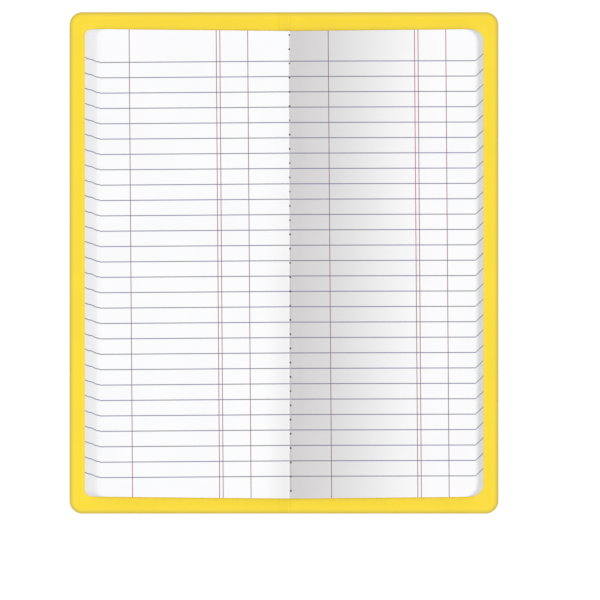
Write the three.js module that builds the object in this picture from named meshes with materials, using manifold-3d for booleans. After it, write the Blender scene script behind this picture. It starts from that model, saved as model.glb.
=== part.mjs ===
import * as THREE from 'three';
import { mergeVertices } from 'three/addons/utils/BufferGeometryUtils.js';
import Module from 'manifold-3d';

// A pocket tally book with a soft vinyl cover, lying open at its middle page.
// +X is the right hand page, +Y the head of the page and +Z up. The origin is on the
// table, under the middle of the cover. Sizes are in millimetres, angles in radians.

// Cover: two vinyl panels and a spine strip, with a pocket welded inside each panel.
// The margins are the cover that shows past the paper block.
const foreMargin = 6.3;
const headMargin = 7.05;
const coverCornerRadius = 5.4;
const vinylThickness = 0.4;
const spineHalfWidth = 1.75;
const creaseWidth = 0.3;
const weldWidth = 3.2;
const pocketThickness = 0.25;

// Card covers of the paper block, slid into the pockets
const cardThickness = 0.25;
const cardPlay = 0.03;
const cardInnerEdge = 4.2;
const cardProud = 0.6;

// Paper block: folded sheets, two to a leaf pair, sewn through the fold
const blockReach = 81.9;
const leafHeight = 192.2;
const leafCornerRadius = 4;
const paperThickness = 0.095;
const sheetsPerPair = 2;
const pairCount = 12;
const pairGap = 0.01;
const blockFloat = 0.04;
const pageClearance = 0.1;
const openDrift = 1.8;

// Sewn fold and its thread
const foldHalfAngle = 0.66;
const foldRootDepth = 0.35;
const foldTopDepth = 0.45;
const foldBackClearance = 0.05;
const threadRadius = 0.22;
const threadDepth = 0.17;
const threadSeat = 0.05;
const threadSideClearance = 0.23;
const holeClearance = 0.25;
const stitchPitch = 5.86;
const stitchMargin = 2.2;
const threadTail = 1.2;

// Facets
const cornerSegments = 6;
const backSegments = 8;
const threadSides = 6;

// How far a cutting solid runs past the face that it opens
const overcut = 1;

// Outer sizes of the open cover
const coverHalfWidth = blockReach + foreMargin;
const coverHeight = leafHeight + 2 * headMargin;
const stitchCount = 1 + Math.floor((leafHeight - 2 * stitchMargin) / stitchPitch);

// Heights above the table, from the skin up to the line that the book closes about
const cardFloor = vinylThickness + cardPlay;
const pocketCeiling = cardFloor + cardThickness + cardPlay;
const pocketTop = pocketCeiling + pocketThickness;
const blockFloor = pocketTop + blockFloat;
const pairThickness = sheetsPerPair * paperThickness;
const pairPitch = pairThickness + pairGap;
const halfBlock = pairCount * pairPitch;
const hingeHeight = blockFloor + halfBlock + pageClearance;

// A sheet that lies at a depth under the hinge line bends round a half circle of that
// depth when the book closes, so each of its leaves gives a quarter turn to the fold.
const quarterTurn = Math.PI / 2;
const panelInnerEdge = spineHalfWidth + creaseWidth;

const wasm = await Module();
wasm.setup();

function toSolid(geometry) {
  geometry.deleteAttribute('normal');
  geometry.deleteAttribute('uv');
  const welded = mergeVertices(geometry);
  return new wasm.Manifold(new wasm.Mesh({
    numProp: 3,
    vertProperties: welded.attributes.position.array,
    triVerts: new Uint32Array(welded.index.array),
  }));
}

function toGeometry(solid) {
  const cut = solid.getMesh();
  const geometry = new THREE.BufferGeometry();
  geometry.setAttribute('position', new THREE.BufferAttribute(cut.vertProperties, 3));
  geometry.setIndex(new THREE.BufferAttribute(cut.triVerts, 1));
  geometry.computeVertexNormals();
  return geometry;
}

function vinyl() {
  return new THREE.MeshStandardMaterial({ color: 0xf9dd3e, roughness: 0.42, metalness: 0 });
}

function card() {
  return new THREE.MeshStandardMaterial({ color: 0xd9c79a, roughness: 0.85, metalness: 0 });
}

function paper() {
  return new THREE.MeshStandardMaterial({ color: 0xf4f4f2, roughness: 0.9, metalness: 0 });
}

function thread() {
  return new THREE.MeshStandardMaterial({ color: 0xb9b6b0, roughness: 0.8, metalness: 0 });
}

function named(name, geometry, material) {
  const mesh = new THREE.Mesh(geometry, material);
  mesh.name = name;
  return mesh;
}

// A flat plate that runs from x = 0 outwards, with round corners on its outer side only
function makePlate(length, height, thickness, cornerRadius) {
  const corner = { x: length - cornerRadius, y: height / 2 - cornerRadius };
  const outline = new THREE.Shape();
  outline.moveTo(0, height / 2);
  outline.lineTo(0, -height / 2);
  outline.absarc(corner.x, -corner.y, cornerRadius, -quarterTurn, 0, false);
  outline.absarc(corner.x, corner.y, cornerRadius, 0, quarterTurn, false);
  outline.closePath();
  return new THREE.ExtrudeGeometry(outline, {
    depth: thickness,
    bevelEnabled: false,
    curveSegments: cornerSegments,
  });
}

function makeCoverSkin(name) {
  const length = coverHalfWidth - panelInnerEdge;
  const skin = named(name, makePlate(length, coverHeight, vinylThickness, coverCornerRadius), vinyl());
  skin.position.x = panelInnerEdge;
  return skin;
}

// The pocket is a sheet whose rim turns down on three sides to the skin, where it is welded
function makePocket(name) {
  const length = coverHalfWidth - panelInnerEdge;
  const depth = pocketTop - vinylThickness;
  const outer = toSolid(makePlate(length, coverHeight, depth, coverCornerRadius));
  const room = makePlate(
    length - weldWidth + overcut,
    coverHeight - 2 * weldWidth,
    pocketCeiling - vinylThickness + overcut,
    coverCornerRadius - weldWidth,
  );
  room.translate(-overcut, 0, -overcut);
  const pocket = outer.subtract(toSolid(room));
  const mesh = named(name, toGeometry(pocket), vinyl());
  mesh.position.set(panelInnerEdge, 0, vinylThickness);
  return mesh;
}

function makeCard(name) {
  const length = blockReach + cardProud - cardInnerEdge;
  const height = leafHeight + 2 * cardProud;
  const sheet = named(name, makePlate(length, height, cardThickness, leafCornerRadius), card());
  sheet.position.set(cardInnerEdge, 0, cardFloor);
  return sheet;
}

// Pair 1 lies on the cover and the last pair is the open page. A leaf of a higher pair
// needs less paper for the fold, and its fore edge stands back by what it saves. The open
// sheets have also drifted to the right, the upper ones most.
function makeLeaves(name, index, driftSign) {
  const rise = index * pairPitch;
  const foldDepth = halfBlock - rise;
  const drift = driftSign * openDrift * index / pairCount;
  const start = Math.max(quarterTurn * foldDepth, threadRadius + threadSideClearance);
  const end = blockReach - quarterTurn * rise;
  const leaf = named(name, makePlate(end - start, leafHeight, pairThickness, leafCornerRadius), paper());
  leaf.position.set(start + drift, 0, blockFloor + rise - pairPitch);
  return leaf;
}

function makeHalf(cover, leaves, driftSign) {
  const half = new THREE.Group();
  half.add(makeCoverSkin(`${cover}_cover_skin`));
  half.add(makePocket(`${cover}_pocket`));
  half.add(makeCard(`${cover}_card`));
  for (let index = 1; index <= pairCount; index += 1) {
    const number = String(index).padStart(2, '0');
    half.add(makeLeaves(`${leaves}_leaves_${number}`, index, driftSign));
  }
  return half;
}

function makeSpineSkin() {
  const strip = new THREE.BoxGeometry(2 * spineHalfWidth, coverHeight, vinylThickness);
  const mesh = named('spine_skin', strip, vinyl());
  mesh.position.z = vinylThickness / 2;
  return mesh;
}

function stitchPlaces() {
  const first = stitchPitch * (stitchCount - 1) / 2;
  return Array.from({ length: stitchCount }, (_, stitch) => first - stitch * stitchPitch);
}

// The nested folds fill a wedge under the hinge line, with a back rounded about that line
function makeSewnFold() {
  const backRadius = halfBlock - foldBackClearance;
  const slope = Math.tan(foldHalfAngle);
  const reach = Math.sqrt((1 + slope ** 2) * backRadius ** 2 - (slope * foldRootDepth) ** 2);
  const shoulderDepth = (slope ** 2 * foldRootDepth + reach) / (1 + slope ** 2);
  const shoulder = Math.acos(shoulderDepth / backRadius);
  const topHalfWidth = (foldTopDepth - foldRootDepth) * slope;
  const section = new THREE.Shape();
  section.moveTo(topHalfWidth, -foldTopDepth);
  section.lineTo(-topHalfWidth, -foldTopDepth);
  section.absarc(0, 0, backRadius, -quarterTurn - shoulder, -quarterTurn + shoulder, false);
  section.closePath();
  const bar = new THREE.ExtrudeGeometry(section, {
    depth: leafHeight,
    bevelEnabled: false,
    curveSegments: backSegments,
  });
  bar.rotateX(quarterTurn);
  bar.translate(0, leafHeight / 2, 0);
  const holeRadius = threadRadius + holeClearance;
  const holes = stitchPlaces().map((y) => {
    const hole = new THREE.CylinderGeometry(holeRadius, holeRadius, 2 * halfBlock, threadSides);
    hole.rotateX(quarterTurn);
    hole.translate(0, y, -halfBlock / 2);
    return toSolid(hole);
  });
  const pierced = holes.reduce((fold, hole) => fold.subtract(hole), toSolid(bar));
  return named('sewn_fold', toGeometry(pierced), paper());
}

// One run of thread lies in the gutter, one behind the fold, and they meet in each hole
function makeBindingThread() {
  const backDepth = halfBlock - foldBackClearance + threadSeat + threadRadius;
  const runLength = stitchPitch * (stitchCount - 1) + 2 * threadTail;
  const runs = [threadDepth, backDepth].map((depth) => {
    const run = new THREE.CylinderGeometry(threadRadius, threadRadius, runLength, threadSides);
    run.translate(0, 0, -depth);
    return toSolid(run);
  });
  const links = stitchPlaces().map((y) => {
    const length = backDepth - threadDepth;
    const link = new THREE.CylinderGeometry(threadRadius, threadRadius, length, threadSides);
    link.rotateX(quarterTurn);
    link.translate(0, y, -(backDepth + threadDepth) / 2);
    return toSolid(link);
  });
  const sewn = [...runs, ...links].reduce((whole, piece) => whole.add(piece));
  return named('binding_thread', toGeometry(sewn), thread());
}

const group = new THREE.Group();

const rightHalf = makeHalf('back', 'right', 1);
group.add(rightHalf);

const leftHalf = makeHalf('front', 'left', -1);
leftHalf.rotation.z = Math.PI;
group.add(leftHalf);

group.add(makeSpineSkin());

const binding = new THREE.Group();
binding.position.set(openDrift, 0, hingeHeight);
binding.add(makeSewnFold(), makeBindingThread());
group.add(binding);

export default group;
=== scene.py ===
"""Looks of a pocket tally book that lies open: vinyl cover, pockets, ruled sheets and stitching."""

import math
import random

import bmesh
import bpy
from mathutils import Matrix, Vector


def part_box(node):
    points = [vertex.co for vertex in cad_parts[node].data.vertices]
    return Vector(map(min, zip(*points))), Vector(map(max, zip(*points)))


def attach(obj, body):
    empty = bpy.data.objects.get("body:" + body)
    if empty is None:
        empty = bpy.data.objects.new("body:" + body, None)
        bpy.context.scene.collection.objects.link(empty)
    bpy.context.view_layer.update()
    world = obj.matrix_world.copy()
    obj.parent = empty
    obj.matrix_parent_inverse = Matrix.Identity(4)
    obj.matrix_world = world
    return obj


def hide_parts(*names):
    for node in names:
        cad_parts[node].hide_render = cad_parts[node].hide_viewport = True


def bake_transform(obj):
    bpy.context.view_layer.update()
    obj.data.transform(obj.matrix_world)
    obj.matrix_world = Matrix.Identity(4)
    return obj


bl_info = {
    "name": "Tally Book",
    "version": (1, 0, 0),
    "blender": (4, 5, 0),
    "location": "3D View > Sidebar > Tally Book",
    "description": "Builds the cover, pockets, ruled sheets and stitching of a tally book",
    "category": "Object",
}

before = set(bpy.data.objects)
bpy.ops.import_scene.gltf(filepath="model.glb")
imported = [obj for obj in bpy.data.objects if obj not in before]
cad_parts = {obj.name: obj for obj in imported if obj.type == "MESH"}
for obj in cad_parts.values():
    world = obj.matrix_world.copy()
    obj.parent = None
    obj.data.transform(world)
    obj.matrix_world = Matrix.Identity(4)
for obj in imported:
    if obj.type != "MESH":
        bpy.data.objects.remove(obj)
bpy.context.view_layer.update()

MM = 0.001

# The map and the point layers that the materials read
PRINT_MAP = "sheet_place"
DEPTH_LAYER = "stack_depth"
OUTER_LAYER = "outer_face"

# Each pair of leaves in the construction stands for two folded sheets
PAIRS = sum(name.startswith("right_leaves_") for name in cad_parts)
SHEETS = 2 * PAIRS

# Places that the construction gives
SKIN_LOW, SKIN_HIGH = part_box("back_cover_skin")
SKIN_MIDDLE = (SKIN_LOW.z + SKIN_HIGH.z) / 2
POCKET_LOW, POCKET_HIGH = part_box("back_pocket")
BLOCK_LOW, BLOCK_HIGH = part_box("right_leaves_01")
TOP_RIGHT_LOW, TOP_RIGHT_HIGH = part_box(f"right_leaves_{PAIRS:02d}")
TOP_LEFT_LOW, TOP_LEFT_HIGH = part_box(f"left_leaves_{PAIRS:02d}")

# Facets of a rounded corner, of a rounded edge and round the thread
CORNER_SEGMENTS = 10
EDGE_SEGMENTS = 3
THREAD_SIDES = 8

# Edges that turn by less than this, in degrees, are shaded smooth
PLATE_SMOOTH = 32
THREAD_SMOOTH = 60

# Points closer than this, in metres, lie in one place
SAME_PLACE = 0.01 * MM


def length(name, description, default):
    """A length that a user may change, in metres."""
    return bpy.props.FloatProperty(
        name=name, description=description, default=default, unit="LENGTH", subtype="DISTANCE"
    )


def spot(name, description, default):
    """A place that a user may change, in metres."""
    return bpy.props.FloatVectorProperty(
        name=name, description=description, default=default, size=3, subtype="TRANSLATION"
    )


def colour(name, description, default):
    """A colour that a user may change, in linear red, green and blue."""
    return bpy.props.FloatVectorProperty(
        name=name, description=description, default=default, size=3, min=0, max=1, subtype="COLOR"
    )


class CoverSettings(bpy.types.PropertyGroup):
    """Sizes and colours of the vinyl cover and its pockets"""

    corner_radius: length("Corner radius", "Radius of the four corners", 5.2 * MM)
    edge_round: length("Edge round", "Rounding of the cut edge of the vinyl", 0.13 * MM)
    bend_reach: length("Bend reach", "Half the width of vinyl that bends at the spine", 2.05 * MM)
    crease_place: length("Crease place", "Distance of each spine crease from the middle", 1.7 * MM)
    crease_depth: length("Crease depth", "Depth of the pressed crease", 0.07 * MM)
    ridge_height: length("Ridge height", "Height of the low ridge inside the spine", 0.03 * MM)
    room_inset: length("Room inset", "Width of the weld round the pocket's room", 4.8 * MM)
    lip_reach: length("Lip reach", "How far the pocket thins towards the spine", 1.5 * MM)
    # Edge reach is the width of the painted shade at the rounded outer edge
    edge_reach: length("Edge reach", "Width of the darker border at the outer edge", 2.4 * MM)
    vinyl: colour("Vinyl", "Colour of the vinyl", (0.932, 0.697, 0.026))
    # Colour of the painted shade at the rounded outer edge
    edge_shade: colour("Edge shade", "Colour of the outer edge", (0.55, 0.415, 0.05))
    # Colour of the painted highlight along the crease inside the spine
    crease_highlight: colour("Crease highlight", "Colour of the vinyl where it has creased", (1.0, 0.79, 0.07))


class BlockSettings(bpy.types.PropertyGroup):
    """Sizes and colours of the ruled sheets and their stitching"""

    left_corner: length("Left corner", "Radius of the left fore edge corners", 2.9 * MM)
    right_corner: length("Right corner", "Radius of the right fore edge corners", 5 * MM)
    paper: length("Paper", "Thickness of one sheet", 0.04 * MM)
    turn_reach: length("Turn reach", "How far from the fold a page starts to turn in", 3 * MM)
    turn_depth: length("Turn depth", "How deep the open page turns in at the fold", 0.17 * MM)
    right_sag: length("Right sag", "How far from the fold the right page starts to sag", 55 * MM)
    left_sag: length("Left sag", "How far from the fold the left page starts to sag", 9 * MM)
    sag_depth: length("Sag depth", "How deep the open page sags at the fold", 0.4 * MM)
    fold_shift: length("Fold shift", "How far the open fold has crept to the right", 1.05 * MM)
    slip: length("Slip", "How far the sheets have slipped down at the fold", 0.8 * MM)
    bend_reach: length("Bend reach", "Half the width of paper that bends when it closes", 0.3 * MM)
    left_back: length("Left back", "How far back the open sheet's left edge stands", 0.65 * MM)
    right_back: length("Right back", "How far back the open sheet's right edge stands", 1.05 * MM)
    block_reach: length("Block reach", "How far out the lowest sheet reaches", BLOCK_HIGH.x + 0.45 * MM)
    thread_radius: length("Thread radius", "Radius of the stitching thread", 0.14 * MM)
    dip_depth: length("Dip depth", "How deep the thread dips into a needle hole", 0.14 * MM)
    page: colour("Page", "Colour of the paper", (0.925, 0.925, 0.937))
    # Colour of the painted shade of the pages at the fold
    shade: colour("Shade", "Colour of the right page where it sinks to the fold", (0.622, 0.608, 0.615))
    rule: colour("Rule", "Colour of the ruled lines", (0.14, 0.14, 0.18))
    rule_tint: colour("Rule tint", "Colour of the ruled lines where the ink is bluer", (0.14, 0.14, 0.30))
    mauve: colour("Mauve", "Colour of the single column lines", (0.28, 0.09, 0.14))
    red: colour("Red", "Colour of the double column lines", (0.32, 0.085, 0.135))
    card: colour("Card", "Colour of the card covers of the block", (0.70, 0.58, 0.33))
    # The thread is white; the grey of this colour is painted shade of the gutter where it lies
    thread: colour("Thread", "Colour of the stitching", (0.64, 0.635, 0.63))


class StageSettings(bpy.types.PropertyGroup):
    """Camera, light and floor round the book"""

    camera_place: spot(
        "Camera place",
        "Where the camera looks straight down from",
        (6.6 * MM, -15.28 * MM, 2.75),
    )
    lens: bpy.props.FloatProperty(
        name="Lens", description="Focal length in millimetres", default=400.8, unit="CAMERA"
    )
    sky: bpy.props.FloatProperty(
        name="Sky", description="Strength of the light from all round", default=0.66
    )
    key: bpy.props.FloatProperty(
        name="Key", description="Power of the soft lamp above the book", default=12.4, unit="POWER"
    )
    key_place: spot("Key place", "Where the soft lamp hangs", (-0.03, -0.04, 1.7))
    key_size: length("Key size", "Width of the soft lamp", 1.0)
    floor_size: length("Floor size", "Width of the floor", 8.0)
    floor_drop: length("Floor drop", "How far below the book the floor lies", 0.02 * MM)


class Wire:
    """An output of a shader node, so that shader maths can be written as Python expressions."""

    def __init__(self, finish, socket):
        self.finish = finish
        self.socket = socket

    def maths(self, operation, *terms):
        values = dict(enumerate(terms))
        made = self.finish.add("ShaderNodeMath", {"operation": operation}, values)
        return Wire(self.finish, made.outputs[0])

    def __add__(self, other):
        return self.maths("ADD", self, other)

    __radd__ = __add__

    def __sub__(self, other):
        return self.maths("SUBTRACT", self, other)

    def __rsub__(self, other):
        return self.maths("SUBTRACT", other, self)

    def __mul__(self, other):
        return self.maths("MULTIPLY", self, other)

    __rmul__ = __mul__

    def __truediv__(self, other):
        return self.maths("DIVIDE", self, other)

    def __abs__(self):
        return self.maths("ABSOLUTE", self)

    def higher(self, other):
        return self.maths("MAXIMUM", self, other)

    def lower(self, other):
        return self.maths("MINIMUM", self, other)

    def root(self):
        return self.maths("SQRT", self)

    def fraction(self):
        return self.maths("FRACT", self)

    def rise(self, start, end):
        """0 up to start and 1 from end on, with a smooth rise between them."""
        made = self.finish.add(
            "ShaderNodeMapRange",
            {"interpolation_type": "SMOOTHSTEP"},
            {"Value": self, "From Min": start, "From Max": end},
        )
        return Wire(self.finish, made.outputs["Result"])

    def fall(self, start, end):
        """1 up to start and 0 from end on."""
        return 1 - self.rise(start, end)

    def line(self, half_width, soft):
        """1 where this value is near nought, for a line of that half width with soft sides."""
        return abs(self).fall(half_width - soft / 2, half_width + soft / 2)


class Finish:
    """A material and the nodes that are added to it."""

    def __init__(self, name):
        self.material = bpy.data.materials.new(name)
        self.material.use_nodes = True
        self.tree = self.material.node_tree
        self.shader = self.tree.nodes["Principled BSDF"]

    def add(self, kind, settings, sockets):
        """Adds a node: its settings are set first, then the values or links of its sockets."""
        node = self.tree.nodes.new(kind)
        for name, value in settings.items():
            setattr(node, name, value)
        for name, value in sockets.items():
            self.join(value, node.inputs[name])
        return node

    def join(self, value, socket):
        if isinstance(value, Wire):
            self.tree.links.new(value.socket, socket)
        else:
            socket.default_value = value

    def give(self, **sockets):
        """Sets sockets of the shader, whose names are written with underscores."""
        for name, value in sockets.items():
            self.join(value, self.shader.inputs[name.replace("_", " ")])

    def place(self):
        """The piece's own map in metres: how far right and how far up a point lies when open."""
        made = self.add("ShaderNodeUVMap", {"uv_map": PRINT_MAP}, {})
        return Wire(self, made.outputs["UV"])

    def layer(self, name):
        """A number that the piece's points carry."""
        made = self.add("ShaderNodeAttribute", {"attribute_name": name}, {})
        return Wire(self, made.outputs["Fac"])

    def across(self, place):
        """The two numbers of a place, in millimetres."""
        made = self.add("ShaderNodeSeparateXYZ", {}, {"Vector": place})
        return Wire(self, made.outputs["X"]) / MM, Wire(self, made.outputs["Y"]) / MM

    def noise(self, place, size, detail=3.0):
        """Clouds of about that size in metres, with values round a half."""
        made = self.add(
            "ShaderNodeTexNoise", {}, {"Vector": place, "Scale": 1 / size, "Detail": detail}
        )
        return Wire(self, made.outputs["Fac"])

    def blend(self, factor, first, second):
        """A colour between two, the first where the factor is 0."""
        made = self.add(
            "ShaderNodeMix", {"data_type": "RGBA"}, {0: factor, 6: paint(first), 7: paint(second)}
        )
        return Wire(self, made.outputs[2])

    def bump(self, height, distance, strength):
        """The normal of a surface whose bumps are that many metres high."""
        made = self.add(
            "ShaderNodeBump", {}, {"Height": height, "Distance": distance, "Strength": strength}
        )
        return Wire(self, made.outputs["Normal"])


def paint(value):
    """A colour as a colour socket takes it."""
    return value if isinstance(value, Wire) else (*value, 1.0)


def edge_distance(across, up, half_width, half_height, radius):
    """How far inside the rounded outline of the cover a point lies, in millimetres."""
    past_x = abs(across) - (half_width - radius) / MM
    past_y = abs(up) - (half_height - radius) / MM
    corner_x = past_x.higher(0)
    corner_y = past_y.higher(0)
    reach = (corner_x * corner_x + corner_y * corner_y).root()
    return radius / MM - reach - past_x.higher(past_y).lower(0)


BLACK = (0.0, 0.0, 0.0)

# Sizes of the grain, fibres and clouds in the materials, and heights of their bumps, in metres
VINYL_GRAIN = 0.35 * MM
VINYL_CLOUDS = 18 * MM
VINYL_BUMPS = 0.05 * MM
CARD_FIBRES = 0.5 * MM
CARD_CLOUDS = 9 * MM
CARD_BUMPS = 0.03 * MM
PAPER_FIBRES = 0.6 * MM
PAPER_CLOUDS = 30 * MM
PAPER_BUMPS = 0.02 * MM
HOLE_CLOUDS = 7 * MM
THREAD_BUMPS = 0.05 * MM

# How uneven the materials are: where clouds start and end in their noise, how dark a darker
# tone is as a share of the colour, and how strongly ink covers, least and by the paper's fibre
VINYL_CLOUD_EDGE = (0.3, 0.7)
VINYL_DARKER = 0.975
CARD_DARKER = 0.82
PAPER_CLOUD_EDGE = (0.35, 0.75)
PAPER_CLOUD_SHADE = 0.02
TINT_EDGE = (0.35, 0.65)
INK_LEAST = 0.78
INK_BY_FIBRE = 0.25
HOLE_CLOUD_EDGE = (0.35, 0.6)
THREAD_DARKER = 0.85

# Painted shade and painted highlight of the vinyl at the spine: a faint strip of painted shade
# inside, up to the painted highlight line along the crease, a faint painted shaded line past it and
# a dark band of painted shade on the outer face. Places and widths are in millimetres, a pair is
# where a tone starts and ends, and a shade is a share of black.
HIGHLIGHT_LINE = 1.87
HIGHLIGHT_HALF_WIDTH = 0.2
HIGHLIGHT_SOFT = 0.2
HIGHLIGHT_SHARE = 0.5
STRIP_START = (-0.8, -0.3)
STRIP_END = (HIGHLIGHT_LINE - 0.3, HIGHLIGHT_LINE)
STRIP_SHADE = 0.03
SHADED_LINE = 2.66
SHADED_HALF_WIDTH = 0.25
SHADED_SOFT = 0.4
LINE_SHADE = 0.05
BAND_EDGE = (0.5, 2.2)
BAND_SHADE = 0.35
OUTER_SHADE = 0.02


def spine_shade(finish, across):
    """Painted shade of the vinyl at the spine, as a share of black."""
    strip_shade = across.rise(*STRIP_START) * across.fall(*STRIP_END) * STRIP_SHADE
    shaded = (across - SHADED_LINE).line(SHADED_HALF_WIDTH, SHADED_SOFT) * LINE_SHADE
    band_shade = abs(across).fall(*BAND_EDGE) * BAND_SHADE
    return (strip_shade + shaded).higher(finish.layer(OUTER_LAYER) * (OUTER_SHADE + band_shade))


def vinyl_finish(name, cover):
    """Soft yellow vinyl: fine grain, faint clouds, painted shade and a painted highlight at the spine,
    and painted shade at its rounded edge.
    """
    finish = Finish(name)
    place = finish.place()
    across, up = finish.across(place)
    inside = edge_distance(across, up, SKIN_HIGH.x, SKIN_HIGH.y, cover.corner_radius)
    grain = finish.noise(place, VINYL_GRAIN)
    clouds = finish.noise(place, VINYL_CLOUDS)
    darker = [VINYL_DARKER * part for part in cover.vinyl]
    plain = finish.blend(clouds.rise(*VINYL_CLOUD_EDGE), cover.vinyl, darker)
    banded = finish.blend(spine_shade(finish, across), plain, BLACK)
    # Painted highlight along the crease inside the spine
    wear_and_highlight = (across - HIGHLIGHT_LINE).line(HIGHLIGHT_HALF_WIDTH, HIGHLIGHT_SOFT)
    creased = finish.blend(wear_and_highlight * HIGHLIGHT_SHARE, banded, cover.crease_highlight)
    # Painted shade of the rounded outer edge, darkest at the edge
    near = (1 - inside / (cover.edge_reach / MM)).higher(0)
    height = grain * 0.35 + clouds * 0.65
    finish.give(
        Base_Color=finish.blend(near * near, creased, cover.edge_shade),
        Roughness=0.40 + 0.14 * grain,
        Specular_IOR_Level=0.25,
        Normal=finish.bump(height, VINYL_BUMPS, 0.5),
    )
    return finish.material


def card_finish(name, block):
    """Buff card with short fibres."""
    finish = Finish(name)
    made = finish.add("ShaderNodeTexCoord", {}, {})
    place = Wire(finish, made.outputs["Object"])
    fibre = finish.noise(place, CARD_FIBRES, 6.0)
    clouds = finish.noise(place, CARD_CLOUDS)
    darker = [CARD_DARKER * part for part in block.card]
    finish.give(
        Base_Color=finish.blend(fibre * 0.6 + clouds * 0.4, darker, block.card),
        Roughness=0.8 + 0.1 * fibre,
        Normal=finish.bump(fibre, CARD_BUMPS, 0.6),
    )
    return finish.material


# Print of a page, in millimetres from the fold and from the middle of its height. The ruled
# lines end past the first and last one by the margin.
FIRST_RULE = 82.93
LAST_RULE = -87.74
RULES = 28
RULE_PITCH = (FIRST_RULE - LAST_RULE) / (RULES - 1)
RULE_HALF_WIDTH = 0.19
RULE_SOFT = 0.12
RULE_MARGIN = 1
MARGIN_SOFT = 0.1
MAUVE_COLUMNS = (-65.8, -17.08, 16.04, 64.38)
RED_COLUMNS = (-30.0, -28.53, 51.5, 52.95)
COLUMN_HALF_WIDTH = 0.17
COLUMN_SOFT = 0.1

# How far the rules at mid height stand above an even pitch, and at what height they stand true
RULE_BOW = 0.19
BOW_REACH = 90

# How far the column lines lean to the left, and how steeply the rules climb to the right
COLUMN_LEAN = math.radians(0.43)
LEFT_LEAN = math.radians(0.42)
RIGHT_LEAN = math.radians(0.14)

# Needle holes along the fold, painted as dots of shade, in millimetres, with the least and the full share
# of their painted shade
STITCHES = 33
STITCH_PITCH = 5.86
STITCH_SHIFT = -0.33
STITCH_LEAN = math.radians(0.2)
HOLE_RADIUS = 0.40
HOLE_SOFT = 0.1
HOLE_LEAST = 0.5
HOLE_FULL = 0.95
HOLE_SHADE = (0.03, 0.03, 0.035)

# The crest where the open pages meet, in millimetres: its place from the fold, how far right it
# bends between two heights, how soft its edge is, and the painted highlight line on its left, whose
# place is taken from the crest. The crest is where the painted shade of the right page starts.
CREST = -0.54
CREST_BEND = 0.19
CREST_BEND_HEIGHTS = (60, 95)
CREST_SOFT = 0.11
LIGHT_LINE = -0.44
LIGHT_HALF_WIDTH = 0.2
LIGHT_SOFT = 0.2

# Painted shades beside the fold, as shares of the shade colour. A pair is where a shade starts
# and ends, in millimetres across from the fold, or up from the middle for the hollow of the left
# page. The light share is how much the painted highlight line takes off the hollow's painted shade.
SUNK_SHADE = 0.95
SUNK_ACROSS = (0, 62)
NEAR_SHADE = 0.08
NEAR_ACROSS = (0, 9)
HOLLOW_SHADE = 0.3
HOLLOW_ACROSS = (-12, -1)
HOLLOW_UP = (-80, 90)
LIGHT_SHARE = 0.2

# Painted shades of the buried sheets, as shares of black: one that grows with depth on the
# left, one on each side that sets in between two depths, and one at the left page's foot, between
# two places in millimetres from the middle. A depth is 0 for the open sheet and 1 at the bottom of
# the stack.
DEPTH_SHADE = 0.055
LEFT_SHADE = 0.05
LEFT_DEPTHS = (0.02, 0.25)
FOOT_SHADE = 0.08
FOOT_UP = (-97.3, -94.8)
RIGHT_SHADE = 0.2
RIGHT_DEPTHS = (0.05, 0.5)


def page_tone(finish, block, across, up):
    """Paper colour: painted shade where the pages sink to the fold, with a painted highlight beside the
    crest, and painted shade on the sheets down the stack.
    """
    past = across - CREST - up.rise(*CREST_BEND_HEIGHTS) * CREST_BEND
    right = past.rise(-CREST_SOFT, CREST_SOFT)
    # Painted shade where the pages sink to the fold, and a painted highlight line beside the crest
    sunk_shade = SUNK_SHADE * across.fall(*SUNK_ACROSS) + NEAR_SHADE * across.fall(*NEAR_ACROSS)
    light = (past - LIGHT_LINE).line(LIGHT_HALF_WIDTH, LIGHT_SOFT)
    hollow_shade = across.rise(*HOLLOW_ACROSS) * up.fall(*HOLLOW_UP) * (HOLLOW_SHADE - LIGHT_SHARE * light)
    tone = finish.blend(right * sunk_shade + (1 - right) * hollow_shade, block.page, block.shade)
    # Painted shade of the buried sheets, darker down the stack
    depth = finish.layer(DEPTH_LAYER)
    foot = LEFT_SHADE + FOOT_SHADE * up.fall(*FOOT_UP)
    left_buried_shade = depth * DEPTH_SHADE + depth.rise(*LEFT_DEPTHS) * foot
    right_buried_shade = depth.rise(*RIGHT_DEPTHS) * RIGHT_SHADE
    return finish.blend((1 - right) * left_buried_shade + right * right_buried_shade, tone, BLACK)


def rules(across, up):
    """A mask of the ruled lines, which climb to the right, more so on the left page."""
    bow = (1 - (up / BOW_REACH) * (up / BOW_REACH)) * RULE_BOW
    left_climb = across.lower(0) * math.tan(LEFT_LEAN)
    print_up = up - bow - left_climb - across.higher(0) * math.tan(RIGHT_LEAN)
    step = (print_up - FIRST_RULE) / RULE_PITCH + 0.5
    rule_place = (step.fraction() - 0.5) * RULE_PITCH
    high = FIRST_RULE + RULE_MARGIN
    low = LAST_RULE - RULE_MARGIN
    printed = print_up.fall(high, high + MARGIN_SOFT) * print_up.rise(low - MARGIN_SOFT, low)
    return rule_place.line(RULE_HALF_WIDTH, RULE_SOFT) * printed


def columns(places, across, up):
    """A mask of the column lines at the given places, which lean to the left."""
    print_across = across + up * math.tan(COLUMN_LEAN)
    masks = [(print_across - place).line(COLUMN_HALF_WIDTH, COLUMN_SOFT) for place in places]
    total = masks[0]
    for mask in masks[1:]:
        total = total.higher(mask)
    return total


def stitch_reach(up):
    """How far up or down the nearest needle hole lies, in millimetres."""
    return ((up / STITCH_PITCH + 0.5).fraction() - 0.5) * STITCH_PITCH


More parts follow.
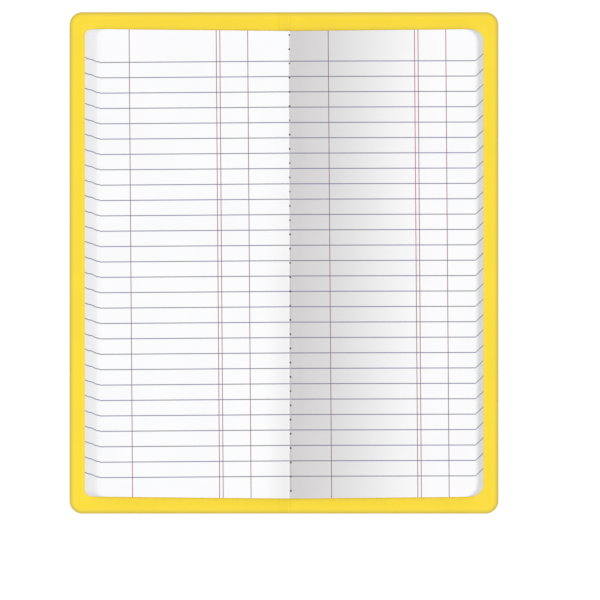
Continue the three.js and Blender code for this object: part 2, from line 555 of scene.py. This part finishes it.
def needle_holes(finish, place, across, up):
    """A mask of the painted shade of the needle holes, which differ in strength."""
    hole_up = stitch_reach(up)
    hole_across = across - STITCH_SHIFT + up * math.tan(STITCH_LEAN)
    reach = (hole_up * hole_up + hole_across * hole_across).root()
    hole_variation = finish.noise(place, HOLE_CLOUDS).rise(*HOLE_CLOUD_EDGE)
    strength = HOLE_LEAST + (HOLE_FULL - HOLE_LEAST) * hole_variation
    return reach.fall(HOLE_RADIUS - HOLE_SOFT, HOLE_RADIUS + HOLE_SOFT) * strength


def paper_finish(name, block):
    """White writing paper with ruled lines, column lines, painted shade at its fold and down the stack,
    and the painted shade of the needle holes of its fold.
    """
    finish = Finish(name)
    place = finish.place()
    across, up = finish.across(place)
    fibre = finish.noise(place, PAPER_FIBRES, 5.0)
    clouds = finish.noise(place, PAPER_CLOUDS)
    tone = page_tone(finish, block, across, up)
    wear_and_highlight = finish.blend(clouds.rise(*PAPER_CLOUD_EDGE) * PAPER_CLOUD_SHADE, tone, BLACK)
    ink = INK_LEAST + INK_BY_FIBRE * fibre
    rule_ink = finish.blend(clouds.rise(*TINT_EDGE), block.rule, block.rule_tint)
    lined = finish.blend(columns(MAUVE_COLUMNS, across, up) * ink, wear_and_highlight, block.mauve)
    lined = finish.blend(columns(RED_COLUMNS, across, up) * ink, lined, block.red)
    lined = finish.blend(rules(across, up) * ink, lined, rule_ink)
    finish.give(
        Base_Color=finish.blend(needle_holes(finish, place, across, up), lined, HOLE_SHADE),
        Roughness=0.82 + 0.08 * fibre,
        Normal=finish.bump(fibre * 0.7 + clouds * 0.3, PAPER_BUMPS, 0.5),
    )
    return finish.material


# Twist of the thread, as the scale and unevenness of its waves, and its share of painted shade
# at a needle hole, which ends between two places in millimetres up or down from the hole
TWIST_SCALE = 900.0
TWIST_DISTORTION = 1.5
DIP_SHARE = 0.9
DIP_END = (0.3, 0.6)


def thread_finish(name, block):
    """Waxed thread with a fine twist in a grey of painted shade, and painted shade where it dips into a
    needle hole.
    """
    finish = Finish(name)
    place = finish.place()
    up = finish.across(place)[1]
    twist = finish.add(
        "ShaderNodeTexWave",
        {"bands_direction": "DIAGONAL"},
        {"Vector": place, "Scale": TWIST_SCALE, "Distortion": TWIST_DISTORTION},
    )
    ply = Wire(finish, twist.outputs["Fac"])
    twisted = finish.blend(ply, [THREAD_DARKER * part for part in block.thread], block.thread)
    # Painted shade where the thread dips into a needle hole
    dip_shade = abs(stitch_reach(up)).fall(*DIP_END)
    finish.give(
        Base_Color=finish.blend(dip_shade * DIP_SHARE, twisted, HOLE_SHADE),
        Roughness=0.75,
        Normal=finish.bump(ply, THREAD_BUMPS, 0.6),
    )
    return finish.material


# Grey of the floor, and the light that makes it white to the camera
FLOOR_GREY = (0.8, 0.8, 0.8, 1.0)
FLOOR_LIGHT = (1.0, 1.0, 1.0, 1.0)
FLOOR_GLOW = 0.27


def floor_finish(name):
    """A white floor that keeps the book's shadow and shows white to the camera."""
    finish = Finish(name)
    path = finish.add("ShaderNodeLightPath", {}, {})
    seen = Wire(finish, path.outputs["Is Camera Ray"])
    for kind in ("Is Glossy Ray", "Is Transmission Ray"):
        seen = seen.higher(Wire(finish, path.outputs[kind]))
    finish.give(
        Base_Color=FLOOR_GREY,
        Roughness=0.9,
        Specular_IOR_Level=0.0,
        Emission_Color=FLOOR_LIGHT,
        Emission_Strength=seen * FLOOR_GLOW,
    )
    return finish.material


def deselect_all():
    if bpy.context.mode != "OBJECT":
        bpy.ops.object.mode_set(mode="OBJECT")
    bpy.ops.object.select_all(action="DESELECT")


def add_plate(name, width, height, radii, base):
    """A flat face in edit mode: a plane whose left and right corners are rounded by two radii."""
    deselect_all()
    bpy.ops.mesh.primitive_plane_add(size=1)
    piece = bpy.context.active_object
    piece.name = name
    piece.data.name = name
    bpy.ops.object.mode_set(mode="EDIT")
    bpy.ops.transform.resize(value=(width, height, 1))
    for side, radius in zip((-1, 1), radii):
        pick(piece, lambda co: co.x * side > 0)
        bpy.ops.mesh.bevel(affect="VERTICES", offset=radius, segments=CORNER_SEGMENTS)
    bpy.ops.mesh.select_all(action="SELECT")
    bpy.ops.transform.translate(value=(0, 0, base))
    return piece


def extrude_up(height):
    bpy.ops.mesh.extrude_region_move(TRANSFORM_OT_translate={"value": (0, 0, height)})


def cut_across(place, side=0):
    """Cuts the piece in edit mode at an x, and with a side of 1 or -1 keeps only that side."""
    bpy.ops.mesh.select_all(action="SELECT")
    bpy.ops.mesh.bisect(
        plane_co=(place, 0, 0),
        plane_no=(side or 1, 0, 0),
        use_fill=side != 0,
        clear_inner=side != 0,
    )


def pick(piece, test):
    """Selects the vertices of a piece in edit mode whose place passes a test."""
    bpy.ops.mesh.select_all(action="DESELECT")
    shape = bmesh.from_edit_mesh(piece.data)
    for vertex in shape.verts:
        vertex.select = test(vertex.co)
    shape.select_flush_mode()
    bmesh.update_edit_mesh(piece.data)


def apply_modifier(piece, kind, **settings):
    """Adds a modifier and applies it at once."""
    bpy.ops.object.mode_set(mode="OBJECT")
    bpy.context.view_layer.objects.active = piece
    modifier = piece.modifiers.new(kind.lower(), kind)
    for name, value in settings.items():
        setattr(modifier, name, value)
    bpy.ops.object.modifier_apply(modifier=modifier.name)


def smooth(piece, degrees=PLATE_SMOOTH):
    deselect_all()
    piece.select_set(True)
    bpy.context.view_layer.objects.active = piece
    bpy.ops.object.shade_smooth_by_angle(angle=math.radians(degrees))


def map_places(piece, right=0.0, up=0.0, tilt=0.0):
    """Writes the piece's map: its places in metres when open, moved right and up and tilted."""
    mapped = piece.data.uv_layers.new(name=PRINT_MAP)
    for loop in piece.data.loops:
        corner = piece.data.vertices[loop.vertex_index].co
        across = corner.x + right
        mapped.data[loop.index].uv = (across, corner.y + up + tilt * across)


def dress(piece, material):
    piece.data.materials.clear()
    piece.data.materials.append(material)


# Cuts across the strip of vinyl that bends, and the low ridge inside the spine: where its steps
# start on the left and where it ends, in millimetres from the middle
SPINE_CUTS = 24
RIDGE_STARTS = (-0.75, -0.45, -0.15)
RIDGE_END = 2.1


class TALLY_OT_cover(bpy.types.Operator):
    """Builds the vinyl skin that runs over both covers and the spine"""

    bl_idname = "tally.cover"
    bl_label = "Cover Skin"

    def execute(self, context):
        cover = context.scene.tally_cover
        size = 2 * SKIN_HIGH
        radii = (cover.corner_radius, cover.corner_radius)
        piece = add_plate("cover_shell", size.x, size.y, radii, SKIN_LOW.z)
        extrude_up(SKIN_HIGH.z - SKIN_LOW.z)
        bpy.ops.mesh.select_all(action="SELECT")
        bpy.ops.mesh.normals_make_consistent(inside=False)
        apply_modifier(
            piece, "BEVEL", width=cover.edge_round, segments=EDGE_SEGMENTS, limit_method="ANGLE"
        )
        bpy.ops.object.mode_set(mode="EDIT")
        for cut in range(SPINE_CUTS + 1):
            cut_across(cover.bend_reach * (2 * cut / SPINE_CUTS - 1))
        self.press_creases(piece, cover)
        self.lift_ridge(piece, cover)
        bpy.ops.object.mode_set(mode="OBJECT")
        smooth(piece)
        map_places(piece)
        layer = piece.data.attributes.new(OUTER_LAYER, "FLOAT", "POINT")
        for point, vertex in zip(layer.data, piece.data.vertices):
            point.value = float(vertex.co.z < SKIN_MIDDLE)
        dress(piece, vinyl_finish("cover_vinyl", cover))
        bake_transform(piece)
        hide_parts("back_cover_skin", "front_cover_skin", "spine_skin")
        return {"FINISHED"}

    def press_creases(self, piece, cover):
        """Presses a soft crease into the outer face on each side of the spine.

        The cuts within one and a half steps of the crease go half way in, the nearest all the way.
        """
        step = 2 * cover.bend_reach / SPINE_CUTS
        for side in (-1, 1):
            crease = side * cover.crease_place
            for reach in (1.5 * step, 0.5 * step):
                pick(piece, lambda co: abs(co.x - crease) < reach and co.z < SKIN_MIDDLE)
                bpy.ops.transform.translate(value=(0, 0, cover.crease_depth / 2))

    def lift_ridge(self, piece, cover):
        """Lifts a low ridge on the inner face, with a long slope on its left."""
        for start in RIDGE_STARTS:
            pick(
                piece,
                lambda co: start * MM < co.x < RIDGE_END * MM and co.z > SKIN_MIDDLE,
            )
            bpy.ops.transform.translate(value=(0, 0, cover.ridge_height / len(RIDGE_STARTS)))


# Section of the pressed edge of a pocket: how far in from the outline, and how high above the
# skin, in millimetres. It stays within the corner radius of the cover.
WELD_SECTION = (
    (0.15, 0.16),
    (0.40, 0.20),
    (0.80, 0.22),
    (1.40, 0.22),
    (2.00, 0.21),
    (2.60, 0.24),
    (3.20, 0.32),
    (3.80, 0.42),
    (4.40, 0.51),
    (4.90, 0.56),
)

# Height of the panel's outer wall, and the play over the card in its pocket, in millimetres
WELD_WALL = 0.10
CARD_PLAY = 0.03

# How thin the pocket is at its spine edge: up to which inset, and its share of the full height
LIP_SHARES = ((3.5, 0.2), (4.6, 0.35), (5, 0.4))


class TALLY_OT_pockets(bpy.types.Operator):
    """Builds the two inner panels that are welded to the skin on three sides"""

    bl_idname = "tally.pockets"
    bl_label = "Pockets"

    def execute(self, context):
        cover = context.scene.tally_cover
        material = vinyl_finish("pocket_vinyl", cover)
        for body, node, side in (
            ("back_cover", "back_pocket", 1),
            ("front_cover", "front_pocket", -1),
        ):
            piece = self.panel(f"{node}_panel", cover, side)
            smooth(piece)
            map_places(piece)
            dress(piece, material)
            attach(piece, body)
            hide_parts(node)
        return {"FINISHED"}

    def panel(self, name, cover, side):
        """One panel, cut from a plate as wide as the whole cover."""
        base = POCKET_LOW.z
        size = 2 * POCKET_HIGH
        radii = (cover.corner_radius, cover.corner_radius)
        piece = add_plate(name, size.x, size.y, radii, base)
        extrude_up(WELD_WALL * MM)
        place, height = 0.0, WELD_WALL
        for next_place, next_height in WELD_SECTION:
            bpy.ops.mesh.inset(
                thickness=(next_place - place) * MM, depth=(next_height - height) * MM
            )
            place, height = next_place, next_height
        bpy.ops.mesh.select_all(action="SELECT")
        bpy.ops.mesh.normals_make_consistent(inside=False)
        pick(piece, lambda co: co.z < base + WELD_WALL * MM / 2)
        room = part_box("back_card")[1].z + CARD_PLAY * MM - base
        bpy.ops.mesh.inset(thickness=cover.room_inset, depth=-room)
        cut_across(side * POCKET_LOW.x, side)
        cut_across(side * (POCKET_LOW.x + cover.lip_reach))
        self.thin_lip(piece, cover, base)
        bpy.ops.object.mode_set(mode="OBJECT")
        return piece

    def thin_lip(self, piece, cover, base):
        """Thins the welded ends of the pocket where they meet the spine."""
        lip = POCKET_LOW.x + cover.lip_reach / 2
        outer = 0.0
        for inset, share in LIP_SHARES:
            high = POCKET_HIGH.y - outer * MM
            low = POCKET_HIGH.y - inset * MM
            pick(piece, lambda co: abs(co.x) < lip and low < abs(co.y) <= high + SAME_PLACE)
            bpy.ops.transform.resize(value=(1, 1, share), center_override=(0, 0, base))
            outer = inset


class TALLY_OT_cards(bpy.types.Operator):
    """Gives the card covers of the block their finish"""

    bl_idname = "tally.cards"
    bl_label = "Cards"

    def execute(self, context):
        material = card_finish("block_card", context.scene.tally_block)
        for node in ("back_card", "front_card"):
            dress(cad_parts[node], material)
        return {"FINISHED"}


# How far the print of a sheet lies above the open one's at the fore edge, in millimetres: on
# the left at some depths in the stack, and on the right at a depth of 1
LEFT_CLIMB = ((0, 0), (0.04, 0.26), (0.12, 0.3), (0.5, 1.35), (0.57, 1.43), (0.64, 1.41), (1, 2.2))
RIGHT_CLIMB = 3.0

# Seed of the chance offsets, and how far they move the fore edges, a whole sheet and its print
# at most, in millimetres
CHANCE_SEED = 11
EDGE_JOG = 0.03
SHEET_JOG = 0.04
PRINT_JOG = 0.04

# Cuts across a sheet, in millimetres: even steps near the fold, and ever wider ones past them
CUT_STEP = 0.06
EVEN_CUTS = 1.6
CUT_GROWTH = 1.25

# The share of the open sheet's turn that sheets at the bottom have, and how far inside the
# rounded corners the end of a sheet starts that is moved when it is trimmed, in metres
LEAST_TURN = 0.7
TRIM_MARGIN = 1 * MM


def between(points, place):
    """The value at a place on the straight lines between points, which are in order."""
    for (start, low), (end, high) in zip(points, points[1:]):
        if place <= end:
            return low + (high - low) * (place - start) / (end - start)
    return points[-1][1]


def hinge_place(share):
    """How far right a sheet's hinge line lies, where a share of 1 is the open sheet."""
    return (TOP_RIGHT_LOW.x + TOP_LEFT_HIGH.x) / 2 * share


class TALLY_OT_sheets(bpy.types.Operator):
    """Builds the folded sheets from one master sheet"""

    bl_idname = "tally.sheets"
    bl_label = "Sheets"

    def execute(self, context):
        block = context.scene.tally_block
        self.material = paper_finish("ruled_paper", block)
        self.chance = random.Random(CHANCE_SEED)
        master = self.master(block)
        for number in range(1, SHEETS + 1):
            self.sheet(master, block, number)
        bpy.data.objects.remove(master)
        return {"FINISHED"}

    def master(self, block):
        """An open sheet about its fold at x = 0, with weights that say how far it gives way."""
        half = BLOCK_HIGH.x
        radii = (block.left_corner, block.right_corner)
        piece = add_plate("master_sheet", 2 * half, 2 * BLOCK_HIGH.y, radii, 0)
        self.trim_start = half - max(radii) - TRIM_MARGIN
        for place in self.stations(self.trim_start):
            cut_across(place)
        bpy.ops.object.mode_set(mode="OBJECT")
        for name, left, right, power in (
            ("turn", block.turn_reach, block.turn_reach, 2),
            ("sag", block.left_sag, block.right_sag, 2),
            ("slip", half, half, 1),
        ):
            group = piece.vertex_groups.new(name=name)
            for vertex in piece.data.vertices:
                far = right if vertex.co.x > 0 else left
                weight = max(0.0, 1 - abs(vertex.co.x) / far) ** power
                group.add([vertex.index], weight, "REPLACE")
        return piece

    def stations(self, last):
        """Where the master is cut: close together at the fold, further apart outwards."""
        places = [0.0]
        place = 0.0
        step = CUT_STEP * MM
        while place < last:
            place += step
            places += [place, -place]
            if place > EVEN_CUTS * MM:
                step *= CUT_GROWTH
        return places

    def sheet(self, master, block, number):
        """Copies the master, lowers its fold, trims its fore edges and lays it in the stack."""
        share = number / SHEETS
        pair = (number + 1) // 2
        turn_line = hinge_place(share)
        fold = turn_line + block.fold_shift * share
        rise = (TOP_RIGHT_HIGH.z - BLOCK_LOW.z) * share
        turn_share = LEAST_TURN + (1 - LEAST_TURN) * share

        deselect_all()
        piece = master.copy()
        piece.data = master.data.copy()
        piece.name = f"sheet_{number:02d}"
        piece.data.name = piece.name
        bpy.context.scene.collection.objects.link(piece)
        for group, direction, depth in (
            ("turn", "Z", block.turn_depth * turn_share),
            ("sag", "Z", block.sag_depth * share),
            ("slip", "Y", block.slip),
        ):
            apply_modifier(
                piece,
                "DISPLACE",
                direction=direction,
                vertex_group=group,
                mid_level=0,
                strength=-depth,
            )
        apply_modifier(piece, "SOLIDIFY", thickness=block.paper, offset=-1)
        bpy.ops.object.mode_set(mode="EDIT")
        for side in (1, -1):
            trim = BLOCK_HIGH.x - self.fore_edge(block, side, share) + side * fold
            pick(piece, lambda co: co.x * side > self.trim_start)
            bpy.ops.transform.translate(value=(-side * (trim + self.jog(EDGE_JOG)), 0, 0))
        bpy.ops.mesh.select_all(action="SELECT")
        bpy.ops.transform.translate(value=(fold, self.jog(SHEET_JOG), BLOCK_LOW.z + rise))
        bpy.ops.object.mode_set(mode="OBJECT")
        piece.vertex_groups.clear()
        smooth(piece)
        self.print_sheet(piece, fold, 1 - share)
        dress(piece, self.material)

        bend = block.bend_reach
        turn_line + bend
        turn_line - bend
        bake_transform(piece)
        if number % 2:
            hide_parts(f"right_leaves_{pair:02d}", f"left_leaves_{pair:02d}")
        if number == SHEETS:
            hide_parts("sewn_fold")

    def print_sheet(self, piece, fold, depth):
        """Maps the print, which climbs at the fore edges from sheet to sheet down the stack."""
        left = between(LEFT_CLIMB, depth)
        right = RIGHT_CLIMB * depth
        climb = (left + right) / 2 * MM + self.jog(PRINT_JOG)
        tilt = (left - right) * MM / (2 * BLOCK_HIGH.x)
        map_places(piece, right=-fold, up=-climb, tilt=tilt)
        layer = piece.data.attributes.new(DEPTH_LAYER, "FLOAT", "POINT")
        for point in layer.data:
            point.value = depth

    def fore_edge(self, block, side, share):
        """How far from the middle of the cover the fore edge of a sheet lies."""
        top = TOP_RIGHT_HIGH.x - block.right_back if side > 0 else -TOP_LEFT_LOW.x
        edge = block.block_reach + (top - block.block_reach) * share
        return edge - block.left_back if side < 0 and share == 1 else edge

    def jog(self, size):
        """A small chance offset, up to that many millimetres either way."""
        return self.chance.uniform(-size, size) * MM


# Steps of the thread from one needle hole to the next, and how sharp its dips are
STITCH_STEPS = 10
DIP_SHARPNESS = 6


class TALLY_OT_stitches(bpy.types.Operator):
    """Builds the thread that is sewn through the fold"""

    bl_idname = "tally.stitches"
    bl_label = "Stitches"

    def execute(self, context):
        block = context.scene.tally_block
        pitch = STITCH_PITCH * MM
        first = pitch * (STITCHES - 1) / 2
        drift = hinge_place(1)
        crest = TOP_RIGHT_HIGH.z - block.turn_depth - block.sag_depth + block.thread_radius
        piece = self.first_stitch("binding_stitches", block, first)
        apply_modifier(
            piece,
            "ARRAY",
            count=STITCHES - 1,
            use_relative_offset=False,
            use_constant_offset=True,
            constant_offset_displace=(0, pitch, 0),
            use_merge_vertices=True,
            merge_threshold=SAME_PLACE,
        )
        bpy.ops.object.mode_set(mode="EDIT")
        bpy.ops.mesh.select_all(action="SELECT")
        bpy.ops.mesh.remove_doubles(threshold=SAME_PLACE / 2)
        pick(piece, lambda co: abs(co.y) > first - SAME_PLACE)
        bpy.ops.mesh.edge_face_add()
        bpy.ops.mesh.select_all(action="SELECT")
        bpy.ops.mesh.normals_make_consistent(inside=False)
        bpy.ops.transform.rotate(value=-STITCH_LEAN, orient_axis="Z", center_override=(0, 0, 0))
        across = drift + block.fold_shift + STITCH_SHIFT * MM
        bpy.ops.transform.translate(value=(across, 0, crest))
        bpy.ops.object.mode_set(mode="OBJECT")
        smooth(piece, THREAD_SMOOTH)
        map_places(piece)
        dress(piece, thread_finish("waxed_thread", block))
        bend = block.bend_reach
        drift + bend
        drift - bend
        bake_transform(piece)
        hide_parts("binding_thread")
        return {"FINISHED"}

    def first_stitch(self, name, block, first):
        """An open tube from the lowest needle hole to the next, in edit mode."""
        deselect_all()
        bpy.ops.mesh.primitive_circle_add(
            vertices=THREAD_SIDES, radius=block.thread_radius, rotation=(math.pi / 2, 0, 0)
        )
        bpy.ops.object.transform_apply(location=False, rotation=True, scale=False)
        piece = bpy.context.active_object
        piece.name = name
        piece.data.name = name
        bpy.ops.object.mode_set(mode="EDIT")
        bpy.ops.mesh.select_all(action="SELECT")
        heights = [self.height(block, step / STITCH_STEPS) for step in range(STITCH_STEPS + 1)]
        bpy.ops.transform.translate(value=(0, -first, heights[0]))
        along = STITCH_PITCH * MM / STITCH_STEPS
        for height, next_height in zip(heights, heights[1:]):
            bpy.ops.mesh.extrude_region_move(
                TRANSFORM_OT_translate={"value": (0, along, next_height - height)}
            )
        return piece

    def height(self, block, share):
        """How high the thread lies, from one needle hole, where it dips, to the next."""
        return -block.dip_depth * math.cos(math.pi * share) ** DIP_SHARPNESS


# Colour of the light from all round, and how far the camera sees, in metres
SKY = (1, 1, 1, 1)
CAMERA_REACH = 10


class TALLY_OT_stage(bpy.types.Operator):
    """Sets the floor, the soft light and the camera"""

    bl_idname = "tally.stage"
    bl_label = "Stage"

    def execute(self, context):
        stage = context.scene.tally_stage
        deselect_all()
        bpy.ops.mesh.primitive_plane_add(size=stage.floor_size, location=(0, 0, -stage.floor_drop))
        floor = bpy.context.active_object
        floor.name = "floor"
        floor.data.materials.append(floor_finish("white_floor"))

        bpy.ops.object.light_add(type="AREA", location=stage.key_place)
        lamp = bpy.context.active_object
        lamp.name = "soft_lamp"
        lamp.data.shape = "SQUARE"
        lamp.data.size = stage.key_size
        lamp.data.energy = stage.key
        lamp.rotation_euler = lamp.location.to_track_quat("Z", "Y").to_euler()

        world = bpy.data.worlds.new("studio")
        world.use_nodes = True
        background = world.node_tree.nodes["Background"]
        background.inputs["Strength"].default_value = stage.sky
        background.inputs["Color"].default_value = SKY
        context.scene.world = world
        context.scene.view_settings.view_transform = "Standard"

        bpy.ops.object.camera_add(location=stage.camera_place, rotation=(0, 0, 0))
        camera = bpy.context.active_object
        camera.data.lens = stage.lens
        camera.data.clip_end = CAMERA_REACH
        context.scene.camera = camera
        return {"FINISHED"}


STEPS = (
    TALLY_OT_cover,
    TALLY_OT_pockets,
    TALLY_OT_cards,
    TALLY_OT_sheets,
    TALLY_OT_stitches,
    TALLY_OT_stage,
)


class TALLY_PT_panel(bpy.types.Panel):
    """Lists the steps that build the book"""

    bl_label = "Tally Book"
    bl_space_type = "VIEW_3D"
    bl_region_type = "UI"
    bl_category = "Tally Book"

    def draw(self, context):
        for step in STEPS:
            self.layout.operator(step.bl_idname)


SETTINGS = {
    "tally_cover": CoverSettings,
    "tally_block": BlockSettings,
    "tally_stage": StageSettings,
}
CLASSES = (*SETTINGS.values(), *STEPS, TALLY_PT_panel)


def register():
    for kind in CLASSES:
        bpy.utils.register_class(kind)
    for name, kind in SETTINGS.items():
        setattr(bpy.types.Scene, name, bpy.props.PointerProperty(type=kind))


def unregister():
    for name in SETTINGS:
        delattr(bpy.types.Scene, name)
    for kind in reversed(CLASSES):
        bpy.utils.unregister_class(kind)


def main():
    register()
    bpy.ops.tally.cover()
    bpy.ops.tally.pockets()
    bpy.ops.tally.cards()
    bpy.ops.tally.sheets()
    bpy.ops.tally.stitches()
    bpy.ops.tally.stage()


if __name__ == "__main__":
    main()
